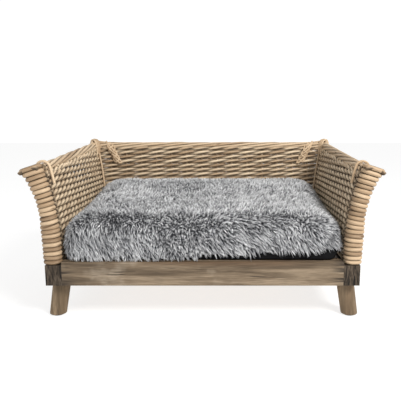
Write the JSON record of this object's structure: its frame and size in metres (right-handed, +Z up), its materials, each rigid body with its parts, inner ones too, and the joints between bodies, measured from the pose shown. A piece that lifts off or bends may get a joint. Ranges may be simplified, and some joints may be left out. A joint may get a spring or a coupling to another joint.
{
  "type": "dog bed with frame",
  "caption": "Low dog sofa: flared three-sided willow gallery on a weathered wooden base with short splayed legs, and a lift-out fur cushion.",
  "frame": {"origin": "centre of the footprint on the floor, under the middle of the overall box", "axes": "+X to the right seen from the open front, +Y towards the back, +Z up"},
  "size_m": [0.814, 0.49, 0.3879],
  "materials": {
    "weathered_wood": "weathered grey-brown, open grain",
    "dark_wood": "dark stained, rough end grain",
    "leg_wood": "weathered grey-brown, turned",
    "raw_wood": "planed softwood, unfinished",
    "willow": "peeled buff willow, satin",
    "fur": "long-pile mottled grey faux fur",
    "black_fabric": "plain woven, matt",
    "wadding": "hollow-fibre pad in a plain lining",
    "steel": "zinc plated",
    "brass": "plain",
    "black_plastic": "moulded, matt"
  },
  "bodies": {
    "frame": {"front_rail": "weathered_wood", "back_rail": "weathered_wood", "left_side_rail": "dark_wood", "right_side_rail": "dark_wood", "front_ledger": "raw_wood", "back_ledger": "raw_wood", "front_left_block": "raw_wood", "front_right_block": "raw_wood", "back_left_block": "raw_wood", "back_right_block": "raw_wood", "front_left_leg": "leg_wood", "front_right_leg": "leg_wood", "back_left_leg": "leg_wood", "back_right_leg": "leg_wood", "leg_bolts": "steel", "leg_inserts": "brass", "leg_glides": "black_plastic", "rail_dowels": "raw_wood", "block_screws": "steel", "ledger_screws": "steel", "slat_screws": "steel", "left_post_core": "raw_wood", "right_post_core": "raw_wood", "left_post_wrap": "willow", "right_post_wrap": "willow", "left_arm_stakes": "willow", "right_arm_stakes": "willow", "left_arm_weave": "willow", "right_arm_weave": "willow", "left_arm_border": "willow", "right_arm_border": "willow", "left_end_rod": "willow", "right_end_rod": "willow", "back_stakes_row": "willow", "back_weave": "willow", "back_border": "willow", "left_corner_post": "willow", "right_corner_post": "willow", "left_corner_knot": "willow", "right_corner_knot": "willow", "left_corner_rod": "willow", "right_corner_rod": "willow", "left_plait": "willow", "right_plait": "willow", "slat_1": "raw_wood", "slat_2": "raw_wood", "slat_3": "raw_wood", "slat_4": "raw_wood", "slat_5": "raw_wood", "slat_6": "raw_wood", "slat_7": "raw_wood", "slat_8": "raw_wood", "slat_9": "raw_wood"},
    "cushion": {"cushion_filling": "wadding", "fur_cover": "fur", "under_fabric": "black_fabric", "zip_tape": "black_fabric", "zip_chain": "black_plastic"},
    "zip_slider_part": {"zip_slider": "steel", "zip_pull": "steel"}
  },
  "joints": [
    {"name": "cushion_lift", "type": "slide", "parent": "frame", "child": "cushion", "axis": [0, 0, 1], "range_m": [0, 0.3]},
    {"name": "zip_travel", "type": "slide", "parent": "cushion", "child": "zip_slider_part", "axis": [1, 0, 0], "range_m": [0, 0.356]}
  ]
}
